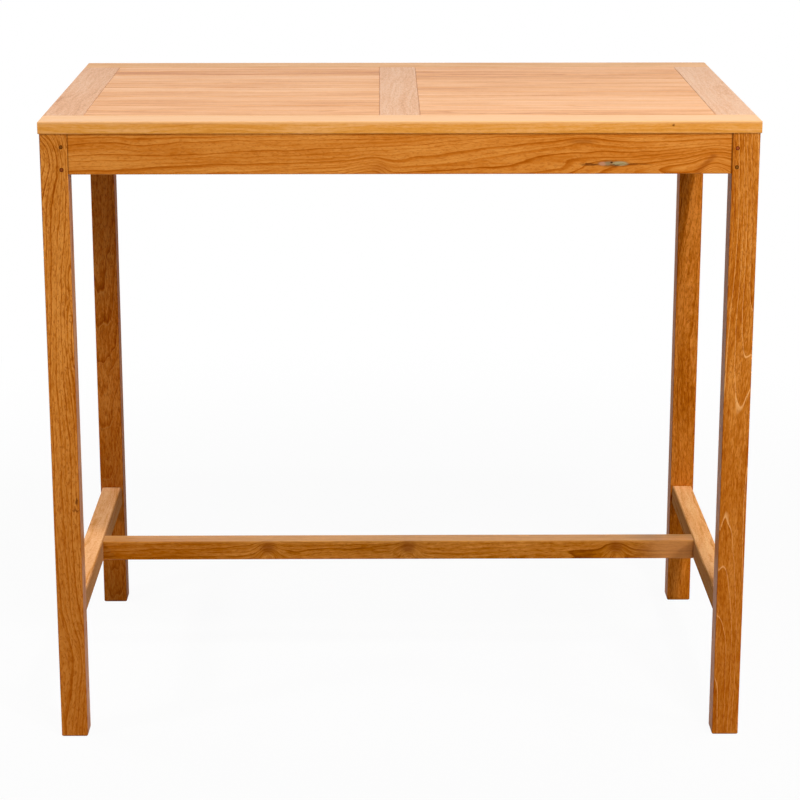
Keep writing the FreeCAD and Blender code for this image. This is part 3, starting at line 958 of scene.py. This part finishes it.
def rods(node_name: str) -> List[Rod]:
    """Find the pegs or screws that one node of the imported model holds.

    Args:
        node_name: Name of the node.

    Returns:
        One rod for each separate solid, from left to right and from the top down.
    """
    work = bmesh.new()
    work.from_mesh(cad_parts[node_name].data)
    bmesh.ops.remove_doubles(work, verts=work.verts, dist=SAME_PLACE_MM * MM)
    left = set(work.verts)
    found = []
    while left:
        group = joined_to(left.pop())
        left.difference_update(group)
        found.append(rod_through([vert.co.copy() for vert in group]))
    work.free()
    return sorted(found, key=Rod.order)


class RodGroup:
    """Group of pegs or screws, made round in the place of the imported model's flat-sided ones."""

    SLOT = ""

    def __init__(self, node_name: str, material: bpy.types.Material) -> None:
        """Make the group.

        Args:
            node_name: Node that it stands for.
            material: What it is made of.
        """
        work = bmesh.new()
        self.begin(work)
        places = rods(node_name)
        for number, rod in enumerate(places):
            before = set(work.verts)
            self.shape(work, rod)
            made = [vert for vert in work.verts if vert not in before]
            self.mark(work, made, rod, number)
            bmesh.ops.transform(work, matrix=rod.placing(), verts=made)
        bmesh.ops.recalc_face_normals(work, faces=work.faces)
        mesh = bpy.data.meshes.new("round_" + node_name)
        work.to_mesh(mesh)
        work.free()
        mesh.materials.append(material)
        piece = add_object(mesh.name, mesh)
        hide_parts(node_name)
        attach(piece, "root")
        log.info("%s: %d made round", node_name, len(places))

    def begin(self, work: bmesh.types.BMesh) -> None:
        """Add the layers that the material reads. Screws have none."""

    def shape(self, work: bmesh.types.BMesh, rod: Rod) -> None:
        """Shape one rod under the origin, with its head up."""
        raise NotImplementedError

    def mark(
        self, work: bmesh.types.BMesh, verts: List[bmesh.types.BMVert], rod: Rod, number: int
    ) -> None:
        """Fill one rod's part of those layers."""

    @staticmethod
    def highest(work: bmesh.types.BMesh, others: set) -> bmesh.types.BMFace:
        """Find the head's flat face.

        Args:
            work: Mesh that it is in.
            others: Faces of the rods made before.

        Returns:
            Largest of the highest faces, among those that aren't in others.
        """
        new = [face for face in work.faces if face not in others]
        top = max(face.calc_center_median().z for face in new)
        level = [face for face in new if face.calc_center_median().z > top - SAME_PLACE_MM * MM]
        return max(level, key=bmesh.types.BMFace.calc_area)


@dataclass(frozen=True)
class PegLook:
    """Colours of a peg's end: its heart, and the ring of dark glue and dirt round it."""

    heart: str = "B07A40"
    ring: str = "6E3A10"


class PegGroup(RodGroup):
    """Round wooden pegs, cut off a hair above the wood and eased at the rim."""

    SLOT = "peg_end_grain"
    SEGMENTS = 32
    PROUD_MM = 0.2
    EASE_MM = 0.3
    INSETS = (0.25, 0.25)
    DARK_FROM = 0.45
    DARK_AT = 0.8

    def __init__(
        self, node_name: str, material: bpy.types.Material, looks: Sequence[PegLook] = ()
    ) -> None:
        """Make the group.

        Args:
            node_name: Node that it stands for.
            material: End grain that reads each peg's colours.
            looks: Look of each peg, for those that have one of their own.
        """
        self.looks = looks
        super().__init__(node_name, material)

    def begin(self, work: bmesh.types.BMesh) -> None:
        """Add the layers for the place in a peg's end and for its two colours.

        Args:
            work: Mesh that they go in.
        """
        work.verts.layers.float.new("rim")
        work.verts.layers.float_color.new("heart")
        work.verts.layers.float_color.new("ring")

    def shape(self, work: bmesh.types.BMesh, rod: Rod) -> None:
        """Shape one peg, with rings of faces in its head.

        Args:
            work: Mesh that it goes in.
            rod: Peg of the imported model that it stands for.
        """
        others = set(work.faces)
        proud = self.PROUD_MM * MM
        depth = rod.length + proud
        place = Matrix.Translation((0.0, 0.0, proud - depth / 2))
        ends = {"radius1": rod.radius, "radius2": rod.radius, "cap_ends": True}
        bmesh.ops.create_cone(work, segments=self.SEGMENTS, depth=depth, matrix=place, **ends)
        rim = self.highest(work, others).edges[:]
        ease = {"offset": self.EASE_MM * MM, "segments": 2, "profile": 0.5}
        bmesh.ops.bevel(work, geom=rim, affect="EDGES", material=-1, **ease)
        head = self.highest(work, others)
        for share in self.INSETS:
            bmesh.ops.inset_region(work, faces=[head], thickness=share * rod.radius)
        bmesh.ops.poke(work, faces=[head])

    def mark(
        self, work: bmesh.types.BMesh, verts: List[bmesh.types.BMVert], rod: Rod, number: int
    ) -> None:
        """Note each vertex's place between the peg's heart and its rim, and both colours.

        Args:
            work: Mesh with the layers.
            verts: Vertices of the peg.
            rod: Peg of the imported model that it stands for.
            number: Its place in the group.
        """
        look = self.looks[number] if number < len(self.looks) else PegLook()
        layers = work.verts.layers
        for vert in verts:
            vert[layers.float["rim"]] = math.hypot(vert.co.x, vert.co.y) / rod.radius
            vert[layers.float_color["heart"]] = linear(look.heart)
            vert[layers.float_color["ring"]] = linear(look.ring)


class ScrewGroup(RodGroup):
    """Countersunk wood screws with a cross recess."""

    SLOT = "screw_steel"
    SEGMENTS = 24
    PROUD_MM = 0.1
    RIM_MM = 0.3
    HEAD_MM = 3.0
    SHANK_MM = 2.0
    TIP_MM = 4.0
    TIP_RADIUS_MM = 0.3
    RECESS_SPAN_MM = 4.4
    RECESS_MM = 1.8
    RECESS_TAPER = 0.5

    def shape(self, work: bmesh.types.BMesh, rod: Rod) -> None:
        """Shape one screw: a face with its cross, then the head, the shank and the tip.

        Args:
            work: Mesh that it goes in.
            rod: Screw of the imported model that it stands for.
        """
        span = self.RECESS_SPAN_MM * MM
        grid = bmesh.ops.create_grid(work, x_segments=3, y_segments=3, size=span / 2)["verts"]
        squares = list({face for vert in grid for face in vert.link_faces})
        edge = [line for face in squares for line in face.edges if line.is_boundary]
        middles = [(face, face.calc_center_median()) for face in squares]
        cross = [face for face, at in middles if min(abs(at.x), abs(at.y)) < span / 6]
        rim = bmesh.ops.create_circle(work, segments=self.SEGMENTS, radius=rod.radius)["verts"]
        circle = list({line for vert in rim for line in vert.link_edges})
        bmesh.ops.bridge_loops(work, edges=edge + circle)
        self.sink(work, cross, self.RECESS_MM * MM, self.RECESS_TAPER)
        steps = (
            (self.RIM_MM + self.PROUD_MM, 1.0),
            (self.HEAD_MM - self.RIM_MM, self.SHANK_MM * MM / rod.radius),
            (rod.length / MM - self.HEAD_MM - self.TIP_MM, 1.0),
            (self.TIP_MM, self.TIP_RADIUS_MM / self.SHANK_MM),
        )
        lines = [line for line in circle if line.is_valid]
        for down_mm, scale in steps:
            made = bmesh.ops.extrude_edge_only(work, edges=lines)["geom"]
            verts = [part for part in made if isinstance(part, bmesh.types.BMVert)]
            lines = [part for part in made if isinstance(part, bmesh.types.BMEdge)]
            bmesh.ops.scale(work, vec=(scale, scale, 1.0), verts=verts)
            bmesh.ops.translate(work, vec=(0.0, 0.0, -down_mm * MM), verts=verts)
        bmesh.ops.contextual_create(work, geom=lines)
        proud = (0.0, 0.0, self.PROUD_MM * MM)
        bmesh.ops.translate(work, vec=proud, verts=joined_to(rim[0]))

    @staticmethod
    def sink(
        work: bmesh.types.BMesh, faces: List[bmesh.types.BMFace], depth: float, taper: float
    ) -> None:
        """Push faces into the head, drawn in towards its middle.

        Args:
            work: Mesh that they are in.
            faces: Faces that go down.
            depth: How far they go, in metres.
            taper: How much of their width is left at the bottom.
        """
        made = bmesh.ops.extrude_face_region(work, geom=faces)["geom"]
        verts = [part for part in made if isinstance(part, bmesh.types.BMVert)]
        bmesh.ops.delete(work, geom=faces, context="FACES_ONLY")
        bmesh.ops.scale(work, vec=(taper, taper, 1.0), verts=verts)
        bmesh.ops.translate(work, vec=(0.0, 0.0, -depth), verts=verts)


def end_grain() -> bpy.types.Material:
    """Sawn end of a teak peg. It gives the eye a small matt disc with a dark rim.

    Returns:
        The material.
    """
    material = empty_material("peg_end_grain")
    tree = material.node_tree
    layers = (("rim", "Fac"), ("heart", "Color"), ("ring", "Color"))
    rim, heart, ring = [
        add_node(tree, "Attribute", {}, attribute_name=name).outputs[part] for name, part in layers
    ]
    inputs = {"Value": rim, "From Min": PegGroup.DARK_FROM, "From Max": PegGroup.DARK_AT}
    share = add_node(tree, "MapRange", inputs, interpolation_type="SMOOTHSTEP").outputs[0]
    inputs = {0: share, 6: heart, 7: ring}
    colour = add_node(tree, "Mix", inputs, data_type="RGBA").outputs[2]
    gleam = linear(TeakMaterial.FIBRE_GLEAM)
    inputs = {"Base Color": colour, "Roughness": 0.6, "Specular Tint": gleam}
    inputs["IOR"] = TeakMaterial.IOR
    shader = add_node(tree, "BsdfPrincipled", inputs).outputs[0]
    add_node(tree, "OutputMaterial", {"Surface": shader})
    return material


def screw_steel() -> bpy.types.Material:
    """Zinc-plated steel. It gives the eye a cool grey metal with soft highlights.

    Returns:
        The material.
    """
    material = empty_material("screw_steel")
    tree = material.node_tree
    inputs = {"Base Color": linear("C4C2BC"), "Metallic": 1.0, "Roughness": 0.34}
    shader = add_node(tree, "BsdfPrincipled", inputs).outputs[0]
    add_node(tree, "OutputMaterial", {"Surface": shader})
    return material


@dataclass
class Pegs:
    """Pegs that lock the tenons, with their ends in the faces of the legs and the bars."""

    front_looks: Tuple[PegLook, ...] = (
        PegLook("6E3E12", "5A2A06"),
        PegLook("84401C", "4A1400"),
        PegLook("9A4A28", "5A2006"),
        PegLook("7A4A16", "4E2404"),
    )

    def dress(self) -> None:
        """Make every group of pegs."""
        wood = end_grain()
        PegGroup("apron_pegs_front", wood, self.front_looks)
        for side in ("back", "left", "right"):
            PegGroup("apron_pegs_" + side, wood)
        PegGroup("centre_stretcher_pegs", wood)
        for side in ("left", "right"):
            PegGroup("side_stretcher_pegs_" + side, wood)
        for side in ("front", "back"):
            PegGroup("top_rail_pegs_" + side, wood)


class Screws:
    """Screws that hold the battens and the bearer."""

    def dress(self) -> None:
        """Make every group of screws."""
        steel = screw_steel()
        ScrewGroup("bearer_screws", steel)
        for side in ("front", "back", "left", "right"):
            ScrewGroup("batten_screws_" + side, steel)


@dataclass(frozen=True)
class Lamp:
    """Soft lamp: its place, the width and height of its face, and the point that it faces.

    Lengths are in metres. A grid on the lamp narrows its light to a cone.
    """

    name: str
    place: Triple
    size: Pair
    watts: float
    aim: Triple = (0.0, 0.0, 0.7)
    cone_deg: float = 180.0


@dataclass
class Studio:
    """Camera, lamps, white room and floor."""

    focal_px: float = 2462.4
    camera_mm: Triple = (-34.5, -4424.1, 1712.9)
    pitch_deg: float = 15.162
    yaw_deg: float = 0.483
    far_m: float = 200.0
    room_level: float = 0.095
    floor_m: float = 60.0
    floor_grey: Tuple[float, ...] = (0.5, 0.5, 0.5, 1.0)
    floor_gleam: float = 0.35
    # The floor is drawn this much white out to the first radius, and wholly at the second
    floor_white: float = 0.95
    floor_fade_m: Pair = (0.9, 2.6)
    lamps: Tuple[Lamp, ...] = (
        Lamp("high_lamp", (1.11, -2.3, 4.4), (0.26, 0.26), 112.0),
        Lamp("strip_lamp", (0.82, -3.2, 2.6), (0.26, 1.3), 57.0),
        Lamp("left_lamp", (-2.8, -1.6, 2.75), (0.3, 0.3), 2.1, (-0.6, 0.1, -0.1), 28.0),
        Lamp("left_side_lamp", (-2.6, 0.6, 2.4), (1.4, 1.4), 34.0),
        Lamp("right_lamp", (2.9, -1.6, 1.9), (0.5, 0.5), 1.6, (0.6, 0.0, 0.0), 30.0),
        Lamp("right_side_lamp", (2.6, 0.6, 2.4), (1.4, 1.4), 20.0),
    )

    def place_camera(self) -> None:
        """Set the camera where the photograph was taken from."""
        data = bpy.data.cameras.new("camera")
        data.sensor_width = SENSOR_MM
        data.lens = self.focal_px / IMAGE_PX * SENSOR_MM
        data.clip_end = self.far_m
        camera = add_object("camera", data)
        camera.location = Vector(self.camera_mm) * MM
        turn = (90 - self.pitch_deg, 0.0, -self.yaw_deg)
        camera.rotation_euler = [math.radians(angle) for angle in turn]
        bpy.context.scene.camera = camera

    def hang(self, lamp: Lamp) -> None:
        """Hang one soft lamp.

        Args:
            lamp: Lamp that is hung.
        """
        data = bpy.data.lights.new(lamp.name, "AREA")
        data.shape = "RECTANGLE"
        data.size, data.size_y = lamp.size
        data.energy = lamp.watts
        data.spread = math.radians(lamp.cone_deg)
        made = add_object(lamp.name, data)
        made.location = lamp.place
        facing = Vector(lamp.aim) - Vector(lamp.place)
        made.rotation_euler = facing.to_track_quat("-Z", "Y").to_euler()

    def paint_room(self) -> None:
        """Light the table from all round, and show white wherever the camera sees past it."""
        world = bpy.data.worlds.new("white_room")
        world.use_nodes = True
        tree = world.node_tree
        tree.nodes.clear()
        path = add_node(tree, "LightPath", {})
        seen = path.outputs["Is Camera Ray"]
        for name in ("Is Glossy Ray", "Is Transmission Ray"):
            inputs = {0: seen, 1: path.outputs[name]}
            seen = add_node(tree, "Math", inputs, operation="MAXIMUM").outputs[0]
        inputs = {"Value": seen, "To Min": self.room_level}
        strength = add_node(tree, "MapRange", inputs).outputs[0]
        inputs = {"Color": WHITE, "Strength": strength}
        light = add_node(tree, "Background", inputs).outputs[0]
        add_node(tree, "OutputWorld", {"Surface": light})
        bpy.context.scene.world = world

    def lay_floor(self) -> None:
        """Lay a white floor that keeps the table's shadow and runs out into the white room."""
        mesh = bpy.data.meshes.new("floor")
        work = bmesh.new()
        bmesh.ops.create_grid(work, x_segments=1, y_segments=1, size=self.floor_m / 2)
        work.to_mesh(mesh)
        work.free()
        floor = add_object("floor", mesh)
        material = empty_material("white_floor")
        tree = material.node_tree
        path = add_node(tree, "LightPath", {})
        seen = path.outputs["Is Camera Ray"]
        inputs = {0: path.outputs["Is Glossy Ray"], 1: self.floor_gleam, 2: seen}
        seen = add_node(tree, "Math", inputs, operation="MULTIPLY_ADD").outputs[0]
        place = add_node(tree, "TexCoord", {}).outputs["Object"]
        away = add_node(tree, "VectorMath", {0: place}, operation="LENGTH").outputs["Value"]
        near, far = self.floor_fade_m
        inputs = {"Value": away, "From Min": near, "From Max": far, "To Min": self.floor_white}
        white = add_node(tree, "MapRange", inputs, interpolation_type="SMOOTHSTEP").outputs[0]
        share = add_node(tree, "Math", {0: seen, 1: white}, operation="MULTIPLY").outputs[0]
        matt = add_node(tree, "BsdfDiffuse", {"Color": self.floor_grey}).outputs[0]
        glow = add_node(tree, "Emission", {"Color": WHITE, "Strength": 1.0})
        inputs = {0: share, 1: matt, 2: glow.outputs[0]}
        mixed = add_node(tree, "MixShader", inputs).outputs[0]
        add_node(tree, "OutputMaterial", {"Surface": mixed})
        mesh.materials.append(material)

    def build(self) -> None:
        """Set up the whole studio."""
        self.place_camera()
        for lamp in self.lamps:
            self.hang(lamp)
        self.paint_room()
        self.lay_floor()
        bpy.context.scene.view_settings.view_transform = "Standard"


def main() -> None:
    """Set up the studio and make the table."""
    logging.basicConfig(level=logging.INFO, format="%(message)s")
    Studio().build()
    for assembly in (Legs(), Aprons(), Stretchers(), Top(), Fixings(), Pegs(), Screws()):
        assembly.dress()
        log.info("%s done", type(assembly).__name__)


if __name__ == "__main__":
    main()
